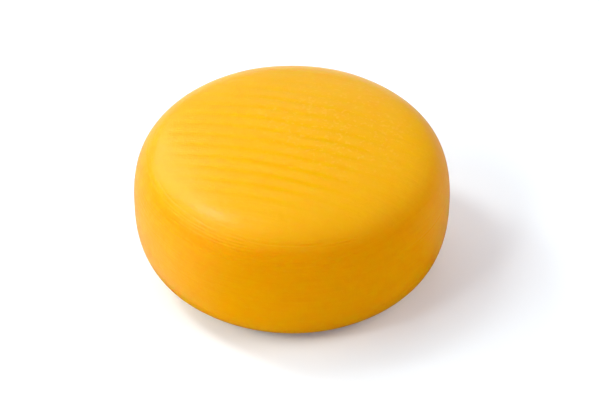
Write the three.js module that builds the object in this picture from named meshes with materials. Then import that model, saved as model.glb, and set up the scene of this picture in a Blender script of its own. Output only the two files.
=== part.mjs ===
// A whole, uncut cheese wheel: a low round body with a crowned top, full rounded sides and an underside
// that has sagged flat where it rests. The top carries the shallow parallel ridges of the board that it
// ripened under. The wheel is one solid, in millimetres, +Z up, with its origin at the middle of the
// underside. Its front, the side at -Y, is the one that the ridges run down to from left to right.

import * as THREE from 'three';
import { mergeGeometries, mergeVertices } from 'three/addons/utils/BufferGeometryUtils.js';

// Driving dimensions, in millimetres.
const WHEEL_RADIUS = 115; // at the widest ring
const FACE_RISE = 58.5; // middle of the top above the widest ring
const FACE_CROWN = 14; // how much the crown of a face would drop from its middle to its edge
const BASE_DROP = 51.9; // flat underside below the widest ring

// How the face turns into the side. A larger edge lateness keeps the face level further out, and a larger
// side fullness keeps the side upright for longer.
const EDGE_LATENESS = 11.25;
const SIDE_FULLNESS = 2.53;

// The board marks: shallow ridges across the top, with grooves between them that are narrower than they are.
const RIDGE_PITCH = 12.25;
const RIDGE_HALF_DEPTH = 0.1;
const GROOVE_SHARPNESS = 0.22; // 0 for an even sine wave
const RIDGE_TURN = THREE.MathUtils.degToRad(16.4); // clockwise from +X, seen from above
const RIDGE_CREST_OFFSET = 8.05; // from the middle of the face back to the nearest crest in front of it
const RIDGE_BOW = 1.64; // sideways bend of a ridge that runs from the middle to the edge
const RIDGE_FAN = -3.5; // how far the ridges spread towards one end
const RIDGE_DRIFT = -13.26; // how much the pitch grows across the face
const MARKED_MIDDLE = new THREE.Vector2(-12.9, -9.2); // of the marked area, along and across the ridges
const RIDGE_FADE_START = 48; // distances from that middle
const RIDGE_FADE_END = 82;

// How finely the surfaces are divided. The face is laid in rows that follow the ridges, and its edge has
// two points for each row, which the rings of the side share.
const FACE_ROWS = 108;
const FACE_COLUMNS = 12;
const UPPER_RINGS = 10;
const LOWER_RINGS = 8;
const FACE_RADIUS = 0.86 * WHEEL_RADIUS;

const WELD_TOLERANCE = 1e-4;

// The contour from the middle of a face to the widest ring is one smooth curve. turn runs from 0 at the
// middle to a quarter turn at the widest ring.
function contourPoint(turn) {
  const reach = Math.sin(turn) ** (2 / EDGE_LATENESS);
  const fullness = Math.cos(turn) ** (2 / SIDE_FULLNESS);
  return new THREE.Vector2(WHEEL_RADIUS * reach, (FACE_RISE - FACE_CROWN * reach ** 2) * fullness);
}

// Height of a plain face above the widest ring, at a distance from the axis.
function faceHeight(radius) {
  const reach = radius / WHEEL_RADIUS;
  return (FACE_RISE - FACE_CROWN * reach ** 2) * (1 - reach ** EDGE_LATENESS) ** (1 / SIDE_FULLNESS);
}

// The turn at which the contour comes down to a height, found by halving.
function turnAtHeight(height) {
  let low = 0;
  let high = Math.PI / 2;
  while (high - low > 1e-12) {
    const middle = (low + high) / 2;
    if (contourPoint(middle).y > height) {
      low = middle;
    } else {
      high = middle;
    }
  }
  return low;
}

// Height of the board marks at a place on the face, with x along the ridges and y across them.
function ridgeHeight(x, y) {
  const alongShare = x / WHEEL_RADIUS;
  const acrossShare = y / WHEEL_RADIUS;
  const bend =
    RIDGE_BOW * alongShare ** 2 + RIDGE_FAN * alongShare * acrossShare + RIDGE_DRIFT * acrossShare ** 2;
  const phase = (2 * Math.PI * (y + bend + RIDGE_CREST_OFFSET)) / RIDGE_PITCH;
  const wave = Math.cos(phase) - GROOVE_SHARPNESS * Math.cos(2 * phase);
  const off = Math.hypot(x - MARKED_MIDDLE.x, y - MARKED_MIDDLE.y);
  const fade = 1 - THREE.MathUtils.smoothstep(off, RIDGE_FADE_START, RIDGE_FADE_END);
  return RIDGE_HALF_DEPTH * fade * wave;
}

// The top face: a plane of rows bent to a disc, crowned, with the ridges on it. Its rows are spaced so
// that their ends lie evenly round the disc's edge.
function makeFace() {
  const geometry = new THREE.PlaneGeometry(2, 2, FACE_COLUMNS, FACE_ROWS);
  const position = geometry.getAttribute('position');
  for (let index = 0; index < position.count; index += 1) {
    const row = Math.floor(index / (FACE_COLUMNS + 1));
    const column = index % (FACE_COLUMNS + 1);
    const rowAngle = (Math.PI * row) / FACE_ROWS;
    const share = (2 * column) / FACE_COLUMNS - 1;
    const x = share * FACE_RADIUS * Math.sin(rowAngle);
    const y = FACE_RADIUS * Math.cos(rowAngle);
    const atEdge = Math.abs(share) === 1 || row === 0 || row === FACE_ROWS;
    const height = atEdge ? faceHeight(FACE_RADIUS) : faceHeight(Math.hypot(x, y)) + ridgeHeight(x, y);
    position.setXYZ(index, x, y, height);
  }
  return geometry;
}

// Contour points between two turns, the first left out and the last kept.
function contourRings(fromTurn, toTurn, count) {
  return Array.from({ length: count }, (_, ring) =>
    contourPoint(fromTurn + ((toTurn - fromTurn) * (ring + 1)) / count),
  );
}

// The shoulder, side, lower shoulder and flat underside: one profile spun round the axis, from the middle
// of the underside up to the edge of the top face.
function makeSideAndBase() {
  const edgeHeight = faceHeight(FACE_RADIUS);
  const edgeTurn = turnAtHeight(edgeHeight);
  const flatTurn = turnAtHeight(BASE_DROP);
  const upper = contourRings(edgeTurn, Math.PI / 2, UPPER_RINGS);
  const lower = contourRings(flatTurn, Math.PI / 2, LOWER_RINGS).slice(0, -1);
  const flatEdge = new THREE.Vector2(contourPoint(flatTurn).x, BASE_DROP);
  const below = [new THREE.Vector2(0, BASE_DROP), flatEdge, ...lower];
  const profile = [
    ...below.map((point) => new THREE.Vector2(point.x, -point.y)),
    ...upper.reverse(),
    new THREE.Vector2(FACE_RADIUS, edgeHeight),
  ];
  const geometry = new THREE.LatheGeometry(profile, 2 * FACE_ROWS);
  geometry.rotateX(Math.PI / 2);
  return geometry;
}

// Joins pieces that share an edge into one closed surface, without the triangles that fell flat where a
// row or a ring shrank to a point.
function weld(pieces) {
  for (const piece of pieces) {
    piece.deleteAttribute('normal');
    piece.deleteAttribute('uv');
  }
  const joined = mergeVertices(mergeGeometries(pieces), WELD_TOLERANCE);
  const corners = Array.from(joined.getIndex().array);
  const kept = [];
  for (let start = 0; start < corners.length; start += 3) {
    const [a, b, c] = corners.slice(start, start + 3);
    if (a !== b && b !== c && c !== a) {
      kept.push(a, b, c);
    }
  }
  joined.setIndex(kept);
  joined.computeVertexNormals();
  return joined;
}

// The wheel stands on its underside, with its ridges turned to their direction.
function makeWheel() {
  const rind = new THREE.MeshStandardMaterial({ color: 0xf2b21e, roughness: 0.38, metalness: 0 });
  const wheel = new THREE.Mesh(weld([makeFace(), makeSideAndBase()]), rind);
  wheel.name = 'cheese_wheel';
  wheel.position.z = BASE_DROP;
  wheel.rotation.z = -RIDGE_TURN;
  return wheel;
}

const cheese = new THREE.Group();
cheese.add(makeWheel());

export default cheese;
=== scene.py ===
"""A whole round of semi-hard cheese in a thin yellow coating, standing on a pale studio floor.

The wheel is one piece. Its smooth body is turned from one contour, and then carries what has marked it: the
ridges of the boards it ripened between, fine creases round its shoulders where the coating has shrunk, and
the soft unevenness of a pressed cheese. Lengths are in metres, and sizes that are easier to read in
millimetres are multiplied by MM.
"""

import bisect
import itertools
import logging
import math
import random
from dataclasses import dataclass, field
from enum import Enum
from typing import ClassVar

import bmesh
import bpy
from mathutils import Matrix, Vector, noise


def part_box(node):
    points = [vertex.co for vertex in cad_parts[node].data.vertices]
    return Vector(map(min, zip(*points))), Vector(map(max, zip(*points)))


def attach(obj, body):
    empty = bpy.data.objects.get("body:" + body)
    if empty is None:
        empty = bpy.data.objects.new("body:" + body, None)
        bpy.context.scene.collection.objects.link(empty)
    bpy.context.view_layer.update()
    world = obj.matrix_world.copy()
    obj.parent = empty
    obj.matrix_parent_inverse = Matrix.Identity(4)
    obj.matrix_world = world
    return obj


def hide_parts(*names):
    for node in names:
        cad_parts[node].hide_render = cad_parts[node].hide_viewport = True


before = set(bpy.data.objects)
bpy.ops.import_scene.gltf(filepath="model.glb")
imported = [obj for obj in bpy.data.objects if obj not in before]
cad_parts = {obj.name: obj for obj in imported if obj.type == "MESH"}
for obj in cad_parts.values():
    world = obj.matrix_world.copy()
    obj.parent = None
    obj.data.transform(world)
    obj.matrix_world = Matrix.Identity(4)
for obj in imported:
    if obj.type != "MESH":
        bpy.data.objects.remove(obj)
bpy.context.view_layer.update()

LOG = logging.getLogger("cheese_wheel")

MM = 0.001
CAD_NODE = "cheese_wheel"
WELD_DISTANCE = 0.01 * MM

# What a mesh holds for each of its points, for its material to read.
# How the coating has pooled in the board's grooves, with painted shade in the shoulder creases.
POOLING_AND_CREASE_SHADE = "coat_pooling_and_crease_shade"
# How far a point has turned onto the side, where the colour is painted shade.
SHADED_SIDE = "coat_painted_side_shade"
FLECKING = "coat_flecks"
GLOW = "glow"

# The two tints of the studio's lights.
COOL = "F3FFFF"
WARM = "FFF7EC"

# Sockets whose names the node uses more than once: the colours that a Mix node takes and gives, and the
# ranges of a Map Range node.
MIX_FIRST, MIX_SECOND, MIX_RESULT = 6, 7, 2
FROM_LOW, FROM_HIGH, TO_LOW, TO_HIGH = 1, 2, 3, 4


def linear(hex_colour: str) -> tuple[float, float, float, float]:
    """Turn an sRGB colour into the linear one that shaders take.

    Args:
        hex_colour: six hex digits, red, green and blue.

    Returns:
        Linear red, green and blue, and an alpha of 1.
    """
    channels = []
    for start in (0, 2, 4):
        share = int(hex_colour[start : start + 2], 16) / 255
        channels.append(share / 12.92 if share <= 0.04045 else ((share + 0.055) / 1.055) ** 2.4)
    return (*channels, 1.0)


def add_node(
    tree: bpy.types.NodeTree,
    kind: str,
    settings: dict[str, object] | None = None,
    inputs: dict[str | int, object] | None = None,
) -> bpy.types.Node:
    """Add a shader node with its settings, its values and its links.

    Args:
        tree: the node tree that it goes in.
        kind: the node's type, such as ShaderNodeBump.
        settings: properties of the node itself.
        inputs: socket names or numbers to values, or to output sockets that are linked in.

    Returns:
        The new node.
    """
    node = tree.nodes.new(kind)
    for name, value in (settings or {}).items():
        setattr(node, name, value)
    for key, value in (inputs or {}).items():
        if isinstance(value, bpy.types.NodeSocket):
            tree.links.new(value, node.inputs[key])
        else:
            node.inputs[key].default_value = value
    return node


def empty_material(name: str) -> bpy.types.Material:
    """Add a material whose node tree is still empty."""
    material = bpy.data.materials.new(name)
    material.use_nodes = True
    material.node_tree.nodes.clear()
    return material


def add_object(name: str, mesh: bmesh.types.BMesh) -> bpy.types.Object:
    """Put a finished mesh into the scene as an object, and free the bmesh.

    Args:
        name: the name of the object and of its mesh.
        mesh: the finished mesh, with its place in it.

    Returns:
        The object, which sits at the origin.
    """
    data = bpy.data.meshes.new(name)
    mesh.to_mesh(data)
    mesh.free()
    made = bpy.data.objects.new(name, data)
    bpy.context.scene.collection.objects.link(made)
    return made


def smooth_step(value: float, start: float, end: float) -> float:
    """Rise smoothly from 0 at start to 1 at end, which may be the lower of the two."""
    share = min(1.0, max(0.0, (value - start) / (end - start)))
    return share * share * (3 - 2 * share)


class Face(Enum):
    """The two flat faces of the wheel, by the side of the body they are on."""

    TOP = 1
    UNDERSIDE = -1


@dataclass
class WheelForm:
    """The smooth body: one contour from the middle of a face to the widest ring, the same above and below.

    The faces are crowned. Below, the crown has sagged flat where the wheel stands. A larger edge lateness
    keeps the face level further out, and a larger side fullness keeps the side upright for longer.
    """

    rise_share: ClassVar[float] = 0.5299  # of the height, above the widest ring

    radius: float
    face_rise: float
    base_drop: float
    face_crown: float = 14.0 * MM
    edge_lateness: float = 11.25
    side_fullness: float = 2.53
    contour_steps: int = 4000
    fine: list[tuple[float, float]] = field(init=False)
    falls: list[float] = field(init=False)
    distances: list[float] = field(init=False)

    def __post_init__(self) -> None:
        """Measure the contour: how far down and how far along each fine step of it is."""
        shares = [step / self.contour_steps for step in range(self.contour_steps + 1)]
        self.fine = [self.contour_point(math.pi / 2 * share**2) for share in shares]
        self.fine[-1] = (self.radius, 0.0)
        self.falls = [-height for _, height in self.fine]
        lengths = [math.dist(before, after) for before, after in zip(self.fine, self.fine[1:])]
        self.distances = list(itertools.accumulate(lengths, initial=0.0))

    @classmethod
    def from_box(cls, low: Vector, high: Vector, ridge_half_depth: float) -> "WheelForm":
        """Work the form out from the box of the solid it stands for.

        Args:
            low: the box's lowest corner.
            high: its highest corner, which is a crest of the ridges on the top.
            ridge_half_depth: how far such a crest stands over the smooth face.

        Returns:
            A form that fills the same box.
        """
        height = high.z - low.z - ridge_half_depth
        return cls(
            radius=(high.x - low.x) / 2,
            face_rise=height * cls.rise_share,
            base_drop=height * (1 - cls.rise_share),
        )

    def contour_point(self, turn: float) -> tuple[float, float]:
        """Give a point of the contour.

        Args:
            turn: from 0 at the middle of the face to a quarter turn at the widest ring.

        Returns:
            Its distance from the axis, and its height above the widest ring.
        """
        reach = math.sin(turn) ** (2 / self.edge_lateness)
        fullness = math.cos(turn) ** (2 / self.side_fullness)
        return self.radius * reach, (self.face_rise - self.face_crown * reach**2) * fullness

    def contour(self, spacings: "RingSpacing") -> list[tuple[float, float]]:
        """Space points along the contour of a face.

        Args:
            spacings: how far apart they lie, by their distance along it.

        Returns:
            Distance from the axis and height above the widest ring, from the middle of the face outwards.
        """
        points = [self.fine[0]]
        wanted = spacings.after(0.0)
        for along, point in zip(self.distances, self.fine):
            if along >= wanted:
                points.append(point)
                wanted = along + spacings.after(along)
        if math.dist(points[-1], self.fine[-1]) < spacings.after(self.distances[-1]) / 2:
            points.pop()
        return [*points, self.fine[-1]]

    def distance_along(self, place: Vector) -> float:
        """Give how far a point of the body is from the middle of its face, along the contour."""
        rise = abs(place.z - self.base_drop)
        index = bisect.bisect_left(self.falls, -rise)
        return self.distances[min(index, len(self.distances) - 1)]

    def profile(self, upper: "RingSpacing", lower: "RingSpacing") -> list[Vector]:
        """Join the contours of both faces, from the middle of the underside up to the middle of the top."""
        below = [
            Vector((distance, 0, self.base_drop - min(height, self.base_drop)))
            for distance, height in self.contour(lower)
        ]
        above = [Vector((distance, 0, self.base_drop + height)) for distance, height in self.contour(upper)]
        return below + above[-2::-1]


@dataclass(frozen=True)
class RingSpacing:
    """How far apart the rings of the mesh lie: even on the face, closest over the creased shoulder."""

    face: float
    shoulder: float
    side: float
    shoulder_start: float = 96.0 * MM
    shoulder_end: float = 137.0 * MM
    change_over: float = 8.0 * MM

    def after(self, along: float) -> float:
        """Give the distance to the next ring, at a distance along the contour from the middle of the face."""
        entered = smooth_step(along, self.shoulder_start - self.change_over, self.shoulder_start)
        left = smooth_step(along, self.shoulder_end, self.shoulder_end + self.change_over)
        inner = self.face + (self.shoulder - self.face) * entered
        return inner + (self.side - inner) * left


@dataclass
class BoardMarks:
    """Shallow parallel ridges that the slats of a ripening board have pressed into a face.

    The grooves are narrower than the ridges between them, and the coating has pooled in them. The ridges bow,
    fan out and drift apart a little, because the slats weren't straight. They are full round the middle of
    the marked area, and go on faintly to the shoulder.
    """

    face: Face
    pitch: float = 12.25 * MM
    half_depth: float = 0.1 * MM
    turn: float = math.radians(16.4)
    crest_offset: float = 8.05 * MM
    bow: float = 1.64 * MM
    fan: float = -3.5 * MM
    drift: float = -13.26 * MM
    groove_sharpness: float = 0.22
    middle: tuple[float, float] = (-15.0 * MM, -5.2 * MM)
    fade_start: float = 48.0 * MM
    fade_end: float = 82.0 * MM
    faint_share: float = 0.35
    faint_end: float = 100.0 * MM
    waver: float = 0.9 * MM
    waver_length: float = 34.0 * MM
    patch_length: float = 24.0 * MM
    patch_shift: tuple[float, float, float] = (7, 3, 1)
    patchiness: float = 0.55

    def wave(self, place: Vector, radius: float) -> float:
        """Give how far a point of the face is towards a crest or a groove.

        Args:
            place: a point on the face.
            radius: the wheel's radius.

        Returns:
            About 1 on a crest and -1 in a groove, and 0 where the marks have faded out.
        """
        along = place.x * math.cos(self.turn) - place.y * math.sin(self.turn)
        across = place.x * math.sin(self.turn) + place.y * math.cos(self.turn)
        bend = (self.bow * along**2 + self.fan * along * across + self.drift * across**2) / radius**2
        spot = Vector((place.x, place.y, self.face.value * radius))
        waver = self.waver * noise.noise(spot / self.waver_length)
        phase = 2 * math.pi * (across + bend + waver + self.crest_offset) / self.pitch
        wave = math.cos(phase) - self.groove_sharpness * math.cos(2 * phase)
        patch = 1 + self.patchiness * noise.noise(spot / self.patch_length + Vector(self.patch_shift))
        off = math.hypot(place.x - self.middle[0], place.y - self.middle[1])
        core = 1 - smooth_step(off, self.fade_start, self.fade_end)
        faint = self.faint_share * (1 - smooth_step(place.to_2d().length, self.fade_end, self.faint_end))
        return wave * patch * (core + faint * (1 - core))


@dataclass(frozen=True)
class Crease:
    """One fine fold round a shoulder, where the coating has shrunk: a groove with a low lip outside it.

    Its distance is measured along the contour from the middle of the face, and drift is how much that grows
    for each radian round the wheel. It wavers a little, and it is broken where the coating held.
    """

    face: Face
    distance: float
    drift: float
    middle: float
    reach: float
    depth: float
    width: float = 0.7 * MM
    lip_share: float = 0.7
    lip_offset: float = 1.6
    waver: float = 0.9 * MM
    waver_turn: float = math.radians(14)
    break_turn: float = math.radians(9)
    broken_below: float = -0.5
    whole_above: float = 0.15
    taper_start: float = 0.5

    def cut(self, face: Face, distance: float, bearing: float) -> float:
        """Give how deep the crease is at a point of the surface.

        Args:
            face: the face that the point is nearer to.
            distance: how far it is from the middle of that face, along the contour.
            bearing: its direction from the axis, in radians.

        Returns:
            The depth, which is negative on the lip.
        """
        around = math.remainder(bearing - self.middle, 2 * math.pi)
        share = abs(around) / self.reach
        gap = distance - self.distance - self.drift * around
        near = -self.width - self.waver < gap < self.width * (1 + self.lip_offset) + self.waver
        if face is not self.face or share >= 1 or not near:
            return 0.0
        own = self.distance / MM
        off = (gap - self.waver * noise.noise(Vector((around / self.waver_turn, own, 0)))) / self.width
        hold = noise.noise(Vector((around / self.break_turn, 0, own)))
        held = smooth_step(hold, self.broken_below, self.whole_above)
        groove = 1 - smooth_step(abs(off), 0, 1)
        lip = 1 - smooth_step(abs(off - self.lip_offset), 0, 1)
        taper = 1 - smooth_step(share, self.taper_start, 1)
        return self.depth * held * (groove - self.lip_share * lip) * taper


@dataclass
class ShoulderCreases:
    """The creases of both shoulders: a marked group at the front, and finer ones all the way round."""

    form: WheelForm
    seed: int = 11
    fine_count: int = 40
    clear_reach: float = 52.3 * MM  # from the middle of a face out to where creases may start
    creases: list[Crease] = field(init=False)

    # Each marked crease's distance and drift in mm, its middle and its reach in degrees, and its depth in mm.
    marked: ClassVar[tuple[tuple[float, float, float, float, float], ...]] = (
        (104.6, 2.9, -108, 62, 0.20),
        (106.9, 2.2, -124, 34, 0.20),
        (109.2, 1.6, -122, 34, 0.22),
        (111.4, 1.0, -118, 30, 0.18),
        (113.6, 0.6, -108, 58, 0.18),
        (117.2, 0.4, -96, 44, 0.12),
        (120.6, 0.3, -104, 50, 0.12),
        (108.4, 1.2, -62, 30, 0.09),
        (112.2, 0.8, -48, 24, 0.09),
        (106.8, 0.5, -154, 20, 0.10),
        (119.0, 0.2, -152, 26, 0.08),
        (133.8, 0.2, -148, 30, 0.07),
    )

    # The least and the most that a fine crease may have of each, in mm and degrees.
    fine_distance: ClassVar[tuple[float, float]] = (99, 136)
    fine_drift: ClassVar[tuple[float, float]] = (-2.5, 2.5)
    fine_reach: ClassVar[tuple[float, float]] = (14, 42)
    fine_depth: ClassVar[tuple[float, float]] = (0.04, 0.09)
    fine_width: ClassVar[tuple[float, float]] = (0.6, 0.9)

    def __post_init__(self) -> None:
        """Lay out the listed marked group, and draw the fine ones."""
        self.creases = [
            Crease(
                face=Face.TOP,
                distance=distance * MM,
                drift=drift * MM,
                middle=math.radians(middle),
                reach=math.radians(reach),
                depth=depth * MM,
            )
            for distance, drift, middle, reach, depth in self.marked
        ]
        draw = random.Random(self.seed)
        for index in range(self.fine_count):
            self.creases.append(
                Crease(
                    face=Face.TOP if index % 3 else Face.UNDERSIDE,
                    distance=draw.uniform(*self.fine_distance) * MM,
                    drift=draw.uniform(*self.fine_drift) * MM,
                    middle=draw.uniform(-math.pi, math.pi),
                    reach=math.radians(draw.uniform(*self.fine_reach)),
                    depth=draw.uniform(*self.fine_depth) * MM,
                    width=draw.uniform(*self.fine_width) * MM,
                )
            )

    def cut(self, place: Vector) -> float:
        """Give how deep the creases are together at a point of the smooth body."""
        face = Face.TOP if place.z > self.form.base_drop else Face.UNDERSIDE
        distance = self.form.distance_along(place)
        if distance < self.clear_reach:
            return 0.0
        bearing = math.atan2(place.y, place.x)
        return sum(crease.cut(face, distance, bearing) for crease in self.creases)


@dataclass(frozen=True)
class Dent:
    """A small round hollow, or with a negative depth a small blister."""

    x: float
    y: float
    depth: float
    width: float

    def cut(self, place: Vector) -> float:
        """Give how deep the dent is at a point of the top."""
        off = math.hypot(place.x - self.x, place.y - self.y) / self.width
        return self.depth * (1 - smooth_step(off, 0, 1)) if off < 1 else 0.0


@dataclass
class Unevenness:
    """The slight waviness of a hand-turned cheese, and the few dents it has picked up."""

    height: float = 0.28 * MM
    length: float = 52.0 * MM
    shift: tuple[float, float, float] = (2.1, 0.4, 5.2)
    dents: tuple[Dent, ...] = (
        Dent(x=-47.2 * MM, y=-70.0 * MM, depth=0.22 * MM, width=2.6 * MM),
        Dent(x=-8.8 * MM, y=-83.3 * MM, depth=-0.16 * MM, width=2.4 * MM),
    )

    def rise(self, place: Vector) -> float:
        """Give how far a point of the surface stands out."""
        wave = self.height * noise.noise(place / self.length + Vector(self.shift))
        return wave - sum(dent.cut(place) for dent in self.dents)


@dataclass(frozen=True)
class FleckedPatch:
    """The part of the top where the coating has dried in small pale flecks."""

    x: float = 34.0 * MM
    y: float = 14.0 * MM
    reach: float = 78.0 * MM
    full_share: float = 0.4  # of the reach, out to which the flecks are full
    elsewhere: float = 0.15

    def share(self, place: Vector) -> float:
        """Give how much of the full flecking there is at a point, from 0 to 1."""
        off = math.hypot(place.x - self.x, place.y - self.y)
        patch = 1 - smooth_step(off, self.reach * self.full_share, self.reach)
        return self.elsewhere + (1 - self.elsewhere) * patch


@dataclass(frozen=True)
class CoatedRind:
    """Annatto-yellow plastic coating, brushed in thin layers on to the rind of a semi-hard cheese.

    It gives a satin gloss with a soft, broken highlight, and lies paler where it is thin and deeper where it
    has pooled. The side is painted deeper and more orange, and the creases deeper, as painted shade. Light
    enters the cheese below and comes back warmer, so shaded parts turn orange, not grey.
    """

    name: str = "brushed_annatto_coating"
    thin: str = "EBB024"
    # The pooled colour is also painted shade in the creases' grooves.
    pooled: str = "E9AF00"
    # The side's colours are painted shade: deeper and more orange than the face's, as the side looks in
    # shade.
    shaded_side_thin: str = "E9A400"
    shaded_side_deep: str = "E69800"
    fleck: str = "F6BE58"

    # Unevenness of the coating, by the size of its patches. The real grain and flecks are well under 1 mm,
    # and are drawn coarser so that they show.
    mottle_length: float = 38.0 * MM
    mottle_roughness: float = 0.55
    cloud_length: float = 8.0 * MM
    cloud_roughness: float = 0.6
    cloud_depth: float = 0.27 * MM
    grain_length: float = 2.2 * MM
    grain_depth: float = 0.06 * MM
    fleck_length: float = 3.0 * MM
    fleck_roughness: float = 0.5
    fleck_edge: tuple[float, float] = (0.53, 0.66)
    fleck_strength: float = 0.3
    noise_detail: float = 4.0

    # Streaks 24 mm long: the brush's are under 2 mm wide and run round the side, and the board's are under
    # 3 mm wide and lie along its slats.
    streak_length: float = 24.0 * MM
    streak_squeeze: float = 14.0
    streak_detail: float = 5.0
    streak_roughness: float = 0.62
    streak_depth: float = 0.13 * MM
    board_turn: float = math.radians(16.4)
    board_squeeze: float = 9.0

    # How much each unevenness deepens the coating, and what is taken off the sum.
    pooling_and_shade_weight: float = 0.42
    mottle_weight: float = 0.6
    cloud_weight: float = 0.4
    pressed_weight: float = 0.9
    pooled_base: float = -0.45
    side_cloud_weight: float = 0.7
    side_brushed_weight: float = 1.3
    side_base: float = -0.5

    # Gloss of the plastic, with a thinner, glossier skin over it and a faint bloom.
    ior: float = 1.4
    cloud_range: tuple[float, float] = (0.35, 0.65)
    roughness: tuple[float, float] = (0.3, 0.34)
    gloss_weight: float = 0.15
    gloss_roughness: float = 0.22
    bloom_weight: float = 0.035
    bloom_roughness: float = 0.4
    bloom_tint: str = "FFEBC0"

    # How far red, green and blue light travel in the cheese below, as shares of a depth.
    travel_shares: tuple[float, float, float] = (1.0, 0.36, 0.08)
    travel_depth: float = 5.0 * MM

    def build(self) -> bpy.types.Material:
        """Make the material.

        Returns:
            A material that reads Object coordinates, in metres, and what the mesh notes of the coating.
        """
        material = empty_material(self.name)
        tree = material.node_tree
        place = add_node(tree, "ShaderNodeTexCoord").outputs["Object"]
        mottle = self.cloud(tree, place, self.mottle_length, self.mottle_roughness)
        cloud = self.cloud(tree, place, self.cloud_length, self.cloud_roughness)
        grain = self.cloud(tree, place, self.grain_length, self.cloud_roughness)
        brushed = self.streaks(tree, place, 0.0, (1.0, 1.0, self.streak_squeeze))
        pressed = self.streaks(tree, place, self.board_turn, (1.0, self.board_squeeze, 1.0))
        fleck = self.flecks(tree, place)
        rough = add_node(
            tree,
            "ShaderNodeMapRange",
            inputs={
                "Value": cloud,
                FROM_LOW: self.cloud_range[0],
                FROM_HIGH: self.cloud_range[1],
                TO_LOW: self.roughness[0],
                TO_HIGH: self.roughness[1],
            },
        ).outputs[0]
        bumps = self.relief(
            tree,
            (
                (grain, self.grain_depth),
                (cloud, self.cloud_depth),
                (brushed, self.streak_depth),
                (pressed, self.streak_depth),
            ),
        )
        shader = add_node(
            tree,
            "ShaderNodeBsdfPrincipled",
            inputs={
                "Base Color": self.colour(tree, mottle, (cloud, brushed, pressed), fleck),
                "Roughness": rough,
                "IOR": self.ior,
                "Normal": bumps,
                "Subsurface Weight": 1.0,
                "Subsurface Radius": self.travel_shares,
                "Subsurface Scale": self.travel_depth,
                "Coat Weight": self.gloss_weight,
                "Coat Roughness": self.gloss_roughness,
                "Coat IOR": self.ior,
                "Coat Normal": bumps,
                "Sheen Weight": self.bloom_weight,
                "Sheen Roughness": self.bloom_roughness,
                "Sheen Tint": linear(self.bloom_tint),
            },
        )
        add_node(tree, "ShaderNodeOutputMaterial", inputs={"Surface": shader.outputs[0]})
        return material

    def cloud(
        self, tree: bpy.types.NodeTree, place: bpy.types.NodeSocket, length: float, roughness: float
    ) -> bpy.types.NodeSocket:
        """Add noise whose patches are about one length across, with finer ones in them."""
        return add_node(
            tree,
            "ShaderNodeTexNoise",
            inputs={
                "Vector": place,
                "Scale": 1 / length,
                "Detail": self.noise_detail,
                "Roughness": roughness,
            },
        ).outputs["Fac"]

    def streaks(
        self, tree: bpy.types.NodeTree, place: bpy.types.NodeSocket, turn: float, squeeze: tuple[float, ...]
    ) -> bpy.types.NodeSocket:
        """Add noise drawn out into streaks.

        Args:
            tree: the material's node tree.
            place: the Object coordinates.
            turn: how far it is turned about the wheel's axis, in radians.
            squeeze: how many times narrower it is along each turned axis.

        Returns:
            The noise, which is about a half on average.
        """
        turned = add_node(
            tree, "ShaderNodeVectorRotate", {"rotation_type": "Z_AXIS"}, {"Vector": place, "Angle": turn}
        ).outputs[0]
        squeezed = add_node(
            tree, "ShaderNodeVectorMath", {"operation": "MULTIPLY"}, {0: turned, 1: squeeze}
        ).outputs[0]
        return add_node(
            tree,
            "ShaderNodeTexNoise",
            inputs={
                "Vector": squeezed,
                "Scale": 1 / self.streak_length,
                "Detail": self.streak_detail,
                "Roughness": self.streak_roughness,
            },
        ).outputs["Fac"]

    def weighed(
        self, tree: bpy.types.NodeTree, shares: tuple[tuple[bpy.types.NodeSocket, float], ...], base: float
    ) -> bpy.types.NodeSocket:
        """Add up numbers by their weights, from a base, and keep the sum between 0 and 1."""
        total = base
        for number, weight in shares:
            total = add_node(
                tree,
                "ShaderNodeMath",
                {"operation": "MULTIPLY_ADD", "use_clamp": number is shares[-1][0]},
                {0: number, 1: weight, 2: total},
            ).outputs[0]
        return total

    def noted(self, tree: bpy.types.NodeTree, name: str) -> bpy.types.NodeSocket:
        """Read a number that the mesh holds for each of its points."""
        return add_node(tree, "ShaderNodeAttribute", {"attribute_name": name}).outputs["Fac"]

    def flecks(self, tree: bpy.types.NodeTree, place: bpy.types.NodeSocket) -> bpy.types.NodeSocket:
        """Add small ragged flecks, as many as the mesh asks for.

        Args:
            tree: the material's node tree.
            place: the Object coordinates.

        Returns:
            1 in the middle of a fleck and 0 outside it.
        """
        ragged = add_node(
            tree,
            "ShaderNodeMapRange",
            {"interpolation_type": "SMOOTHSTEP"},
            {
                "Value": self.cloud(tree, place, self.fleck_length, self.fleck_roughness),
                FROM_LOW: self.fleck_edge[0],
                FROM_HIGH: self.fleck_edge[1],
                TO_LOW: 0.0,
                TO_HIGH: 1.0,
            },
        ).outputs[0]
        return add_node(
            tree, "ShaderNodeMath", {"operation": "MULTIPLY"}, {0: ragged, 1: self.noted(tree, FLECKING)}
        ).outputs[0]

    def blend(
        self, tree: bpy.types.NodeTree, share: bpy.types.NodeSocket, ends: tuple[object, object]
    ) -> bpy.types.NodeSocket:
        """Mix two colours, each a constant or a socket."""
        return add_node(
            tree,
            "ShaderNodeMix",
            {"data_type": "RGBA"},
            {"Factor": share, MIX_FIRST: ends[0], MIX_SECOND: ends[1]},
        ).outputs[MIX_RESULT]

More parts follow.
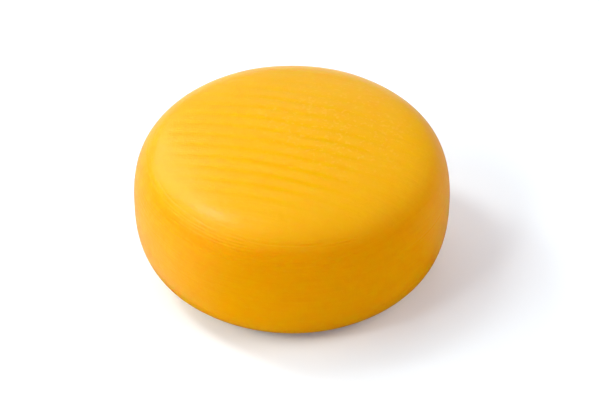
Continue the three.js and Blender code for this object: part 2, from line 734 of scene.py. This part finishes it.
    def colour(
        self,
        tree: bpy.types.NodeTree,
        mottle: bpy.types.NodeSocket,
        noises: tuple[bpy.types.NodeSocket, bpy.types.NodeSocket, bpy.types.NodeSocket],
        fleck: bpy.types.NodeSocket,
    ) -> bpy.types.NodeSocket:
        """Add the colour of the coating by how thick it lies, with painted shade: the side is coloured deeper
        and more orange than the face, and the creases take the deeper colour.

        Args:
            tree: the material's node tree.
            mottle: broad noise.
            noises: finer noise, the brush's streaks and the board's.
            fleck: 1 in a fleck.

        Returns:
            The base colour.
        """
        cloud, brushed, pressed = noises
        pooled = self.weighed(
            tree,
            (
                (self.noted(tree, POOLING_AND_CREASE_SHADE), self.pooling_and_shade_weight),
                (mottle, self.mottle_weight),
                (cloud, self.cloud_weight),
                (pressed, self.pressed_weight),
            ),
            self.pooled_base,
        )
        face = self.blend(tree, pooled, (linear(self.thin), linear(self.pooled)))
        deep = self.weighed(
            tree, ((cloud, self.side_cloud_weight), (brushed, self.side_brushed_weight)), self.side_base
        )
        side = self.blend(tree, deep, (linear(self.shaded_side_thin), linear(self.shaded_side_deep)))
        coat = self.blend(tree, self.noted(tree, SHADED_SIDE), (face, side))
        paled = add_node(
            tree, "ShaderNodeMath", {"operation": "MULTIPLY"}, {0: fleck, 1: self.fleck_strength}
        ).outputs[0]
        return self.blend(tree, paled, (coat, linear(self.fleck)))

    def relief(
        self, tree: bpy.types.NodeTree, layers: tuple[tuple[bpy.types.NodeSocket, float], ...]
    ) -> bpy.types.NodeSocket:
        """Add the relief that is finer than the mesh.

        Args:
            tree: the material's node tree.
            layers: the height of each kind of unevenness, from 0 to 1, and its full depth.

        Returns:
            The bent normal.
        """
        normal = None
        for height, depth in layers:
            inputs = {"Strength": 1.0, "Distance": depth, "Height": height}
            if normal:
                inputs["Normal"] = normal
            normal = add_node(tree, "ShaderNodeBump", inputs=inputs).outputs[0]
        return normal


@dataclass
class CheeseWheel:
    """The whole wheel: its turned body, all that has marked it, and its coating."""

    form: WheelForm
    marks: tuple[BoardMarks, ...]
    unevenness: Unevenness = field(default_factory=Unevenness)
    flecks: FleckedPatch = field(default_factory=FleckedPatch)
    finish: CoatedRind = field(default_factory=CoatedRind)
    crease_shade_depth: float = 0.1 * MM
    # The painted side shade comes in over this tilt of the normal.
    shaded_side_tilt: tuple[float, float] = (0.995, 0.45)  # upward share of the normal, from face to side
    upper_rings: RingSpacing = RingSpacing(face=1.7 * MM, shoulder=0.46 * MM, side=1.7 * MM)
    lower_rings: RingSpacing = RingSpacing(face=3.0 * MM, shoulder=0.9 * MM, side=1.9 * MM)
    segments: int = 404

    def build(self) -> bpy.types.Object:
        """Spin the body, mark it and coat it.

        Returns:
            The wheel, standing on the floor with its axis on the origin.
        """
        mesh = bmesh.new()
        ring = [mesh.verts.new(point) for point in self.form.profile(self.upper_rings, self.lower_rings)]
        edges = [mesh.edges.new(pair) for pair in zip(ring, ring[1:])]
        bmesh.ops.spin(
            mesh,
            geom=ring + edges,
            cent=(0, 0, 0),
            axis=(0, 0, 1),
            dvec=(0, 0, 0),
            angle=2 * math.pi,
            steps=self.segments,
            use_merge=True,
            use_duplicate=False,
        )
        bmesh.ops.remove_doubles(mesh, verts=mesh.verts[:], dist=WELD_DISTANCE)
        bmesh.ops.recalc_face_normals(mesh, faces=mesh.faces[:])
        mesh.normal_update()
        self.mark(mesh)
        wheel = add_object("coated_cheese", mesh)
        wheel.data.shade_smooth()
        wheel.data.materials.append(self.finish.build())
        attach(wheel, "root")
        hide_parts(CAD_NODE)
        return wheel

    def mark(self, mesh: bmesh.types.BMesh) -> None:
        """Move the vertices of the smooth body by all that has marked it, and note how the coating lies and
        where painted shade goes, in the creases and round the side.

        Args:
            mesh: the smooth body, with its normals up to date.
        """
        pooling_and_shade = mesh.verts.layers.float.new(POOLING_AND_CREASE_SHADE)
        side = mesh.verts.layers.float.new(SHADED_SIDE)
        flecking = mesh.verts.layers.float.new(FLECKING)
        creases = ShoulderCreases(self.form)
        for vert in mesh.verts:
            place = vert.co.copy()
            rise = self.unevenness.rise(place)
            for marks in self.marks:
                if vert.normal.z * marks.face.value > 0:
                    wave = marks.wave(place, self.form.radius)
                    rise += marks.half_depth * wave
                    vert[pooling_and_shade] -= wave
            cut = creases.cut(place)
            # Painted shade: the crease grooves take the deeper colour and their lips the paler one.
            vert[pooling_and_shade] += cut / self.crease_shade_depth
            # Painted shade: the more the normal turns to the side, the deeper and more orange the colour.
            vert[side] = smooth_step(abs(vert.normal.z), *self.shaded_side_tilt)
            vert[flecking] = self.flecks.share(place)
            moved = place + vert.normal * (rise - cut)
            vert.co = Vector((moved.x, moved.y, max(0.0, moved.z)))


@dataclass(frozen=True)
class PaperSweep:
    """Matt white background paper, which gives a bright floor. It glows a faint blue, which is painted light
    that lifts its shadows and keeps them neutral.
    """

    name: str = "matt_white_paper"
    colour: str = "F9FDFF"
    width: float = 8.0
    roughness: float = 0.9
    # Painted light: the paper's own faint blue glow, which lifts and cools its shadows.
    painted_glow_colour: str = "008CFF"
    painted_glow_strength: float = 0.1

    def build(self) -> bpy.types.Object:
        """Lay the floor under the wheel.

        Returns:
            A flat sheet, which is staging and not part of the object.
        """
        mesh = bmesh.new()
        bmesh.ops.create_grid(mesh, x_segments=1, y_segments=1, size=self.width / 2)
        floor = add_object("floor", mesh)
        # The paper stays out of reflections; the floor_glow sheet paints its reflection instead.
        floor.visible_glossy = False
        material = empty_material(self.name)
        tree = material.node_tree
        shader = add_node(
            tree,
            "ShaderNodeBsdfPrincipled",
            inputs={
                "Base Color": linear(self.colour),
                "Roughness": self.roughness,
                "Specular IOR Level": 0.0,
                "Emission Color": linear(self.painted_glow_colour),
                "Emission Strength": self.painted_glow_strength,
            },
        )
        add_node(tree, "ShaderNodeOutputMaterial", inputs={"Surface": shader.outputs[0]})
        floor.data.materials.append(material)
        return floor


@dataclass(frozen=True)
class FloorGlow:
    """A painted reflection of the floor: a glowing sheet that only reflections see, bright behind and to the
    left, dark in front.
    """

    # Each direction, in degrees from the back towards the right, and how bright the painted reflection is
    # there.
    levels: tuple[tuple[float, float], ...] = (
        (-150, 0.0),
        (-135, 0.2),
        (-115, 0.42),
        (-60, 0.5),
        (-40, 0.68),
        (-20, 0.9),
        (10, 0.9),
        (30, 0.42),
        (60, 0.3),
        (85, 0.15),
        (105, 0.0),
    )
    inner_radius: float = 115.0 * MM
    outer_radius: float = 3.0
    height: float = 1.0 * MM
    steps_between: int = 3

    def brightness(self, azimuth: float) -> float:
        """Give how bright the floor looks in a direction, in degrees from the back towards the right."""
        for (start, near), (end, far) in zip(self.levels, self.levels[1:]):
            if start <= azimuth <= end:
                return near + (far - near) * smooth_step(azimuth, start, end)
        return 0.0

    def build(self) -> bpy.types.Object:
        """Lay a fan-shaped sheet that nothing but reflections can see.

        Returns:
            The sheet, which is staging and not part of the object.
        """
        mesh = bmesh.new()
        glow = mesh.verts.layers.float.new(GLOW)
        first, last = self.levels[0][0], self.levels[-1][0]
        count = self.steps_between * (len(self.levels) - 1)
        rims = []
        for step in range(count + 1):
            azimuth = first + (last - first) * step / count
            turn = math.radians(azimuth)
            rim = [
                mesh.verts.new((radius * math.sin(turn), radius * math.cos(turn), self.height))
                for radius in (self.inner_radius, self.outer_radius)
            ]
            for vert in rim:
                vert[glow] = self.brightness(azimuth)
            rims.append(rim)
        for (inner, outer), (next_inner, next_outer) in zip(rims, rims[1:]):
            mesh.faces.new((inner, outer, next_outer, next_inner))
        sheet = add_object("floor_glow", mesh)
        material = empty_material("glowing_sheet")
        tree = material.node_tree
        level = add_node(tree, "ShaderNodeAttribute", {"attribute_name": GLOW}).outputs["Fac"]
        shader = add_node(tree, "ShaderNodeEmission", inputs={"Color": linear("FFFFFF"), "Strength": level})
        add_node(tree, "ShaderNodeOutputMaterial", inputs={"Surface": shader.outputs[0]})
        sheet.data.materials.append(material)
        for rays in ("camera", "diffuse", "transmission", "shadow"):
            setattr(sheet, f"visible_{rays}", False)
        return sheet


@dataclass(frozen=True)
class Softbox:
    """A square studio light, aimed at the wheel.

    Its azimuth is in degrees from the back towards the right. One that doesn't shine lights the wheel but
    isn't mirrored in its gloss.
    """

    name: str
    azimuth: float
    elevation: float
    size: float
    watts: float
    distance: float = 2.2
    colour: str = "FFFFFF"
    shines: bool = True

    def build(self, target: Vector) -> bpy.types.Object:
        """Hang the light and aim it.

        Args:
            target: the point that it faces.

        Returns:
            The light.
        """
        azimuth = math.radians(self.azimuth)
        elevation = math.radians(self.elevation)
        away = Vector(
            (
                math.sin(azimuth) * math.cos(elevation),
                math.cos(azimuth) * math.cos(elevation),
                math.sin(elevation),
            )
        )
        data = bpy.data.lights.new(self.name, "AREA")
        data.shape = "SQUARE"
        data.size = self.size
        data.energy = self.watts
        data.color = linear(self.colour)[:3]
        light = bpy.data.objects.new(self.name, data)
        light.visible_camera = False
        light.visible_glossy = self.shines
        light.location = target + away * self.distance
        light.rotation_euler = (-away).to_track_quat("-Z", "Y").to_euler()
        bpy.context.scene.collection.objects.link(light)
        return light


@dataclass(frozen=True)
class StudioCamera:
    """A long lens that looks down on the wheel from its front."""

    elevation: float = 39.75
    distance: float = 1611.7 * MM
    lens: float = 132.35
    sensor_width: float = 36.0
    aim_right: float = 5.93 * MM
    aim_down: float = 3.52 * MM
    nearest: float = 0.05
    furthest: float = 50.0

    def build(self, middle: Vector) -> bpy.types.Object:
        """Set the camera up and make it the scene's.

        Args:
            middle: the wheel's middle, on its axis at its widest ring.

        Returns:
            The camera.
        """
        elevation = math.radians(self.elevation)
        data = bpy.data.cameras.new("camera")
        data.lens = self.lens
        data.sensor_width = self.sensor_width
        data.clip_start = self.nearest
        data.clip_end = self.furthest
        camera = bpy.data.objects.new("camera", data)
        away = Vector((0, -math.cos(elevation), math.sin(elevation)))
        up = Vector((0, math.sin(elevation), math.cos(elevation)))
        camera.location = middle + away * self.distance
        aim = middle + Vector((self.aim_right, 0, 0)) - up * self.aim_down
        camera.rotation_euler = (aim - camera.location).to_track_quat("-Z", "Y").to_euler()
        bpy.context.scene.collection.objects.link(camera)
        bpy.context.scene.camera = camera
        return camera


@dataclass
class Studio:
    """The room: a pale floor, soft lights, and a white background that gives no light of its own."""

    target: Vector
    paper: PaperSweep = field(default_factory=PaperSweep)
    glow: FloorGlow = field(default_factory=FloorGlow)
    lights: tuple[Softbox, ...] = (
        Softbox("key_light", azimuth=-60, elevation=40, size=0.5, watts=12.0, shines=False, colour=COOL),
        Softbox("side_key_light", azimuth=-132, elevation=42, size=0.35, watts=7.2, shines=False),
        Softbox("left_fill", azimuth=-105, elevation=35, size=1.4, watts=18.5, shines=False, colour=COOL),
        Softbox("low_left_fill", azimuth=-90, elevation=10, size=1.4, watts=10.0, shines=False, colour=COOL),
        Softbox("low_side_fill", azimuth=-120, elevation=10, size=1.4, watts=15.0, shines=False, colour=COOL),
        Softbox("high_back_fill", azimuth=0, elevation=60, size=1.4, watts=10.5, shines=False),
        Softbox("back_right_fill", azimuth=60, elevation=10, size=1.4, watts=8.0, shines=False),
        Softbox("right_fill", azimuth=105, elevation=35, size=1.4, watts=19.5, shines=False, colour=WARM),
        Softbox("high_right_fill", azimuth=135, elevation=60, size=1.4, watts=8.0, shines=False, colour=WARM),
        Softbox("highlight_box", azimuth=-70, elevation=60, size=0.5, watts=7.2),
        Softbox("left_box", azimuth=-105, elevation=35, size=1.4, watts=8.5),
        Softbox("back_left_box", azimuth=-45, elevation=35, size=1.4, watts=9.5),
        Softbox("low_back_box", azimuth=0, elevation=10, size=1.4, watts=1.6),
    )

    def build(self) -> None:
        """Lay the floor, hang the lights and put a white background behind them."""
        self.paper.build()
        self.glow.build()
        for softbox in self.lights:
            softbox.build(self.target)
            LOG.info("light %s: %.0f W at azimuth %.0f", softbox.name, softbox.watts, softbox.azimuth)
        world = bpy.data.worlds.new("white_background")
        world.use_nodes = True
        world.node_tree.nodes.clear()
        background = add_node(
            world.node_tree, "ShaderNodeBackground", inputs={"Color": linear("FFFFFF"), "Strength": 1.0}
        )
        add_node(world.node_tree, "ShaderNodeOutputWorld", inputs={"Surface": background.outputs[0]})
        for rays in ("diffuse", "glossy", "transmission", "scatter"):
            setattr(world.cycles_visibility, rays, False)
        bpy.context.scene.world = world
        bpy.context.scene.view_settings.view_transform = "Standard"


def main() -> None:
    """Build the wheel and then the studio round it."""
    logging.basicConfig(level=logging.INFO, format="%(name)s: %(message)s")
    top_marks = BoardMarks(Face.TOP)
    lower_marks = BoardMarks(Face.UNDERSIDE, middle=(0.0, 0.0), fade_start=55 * MM, fade_end=92 * MM)
    form = WheelForm.from_box(*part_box(CAD_NODE), top_marks.half_depth)
    wheel = CheeseWheel(form, marks=(top_marks, lower_marks)).build()
    LOG.info("wheel: %d faces, %.1f mm across", len(wheel.data.polygons), wheel.dimensions.x / MM)
    middle = Vector((0, 0, form.base_drop))
    StudioCamera().build(middle)
    Studio(target=middle).build()


if __name__ == "__main__":
    main()
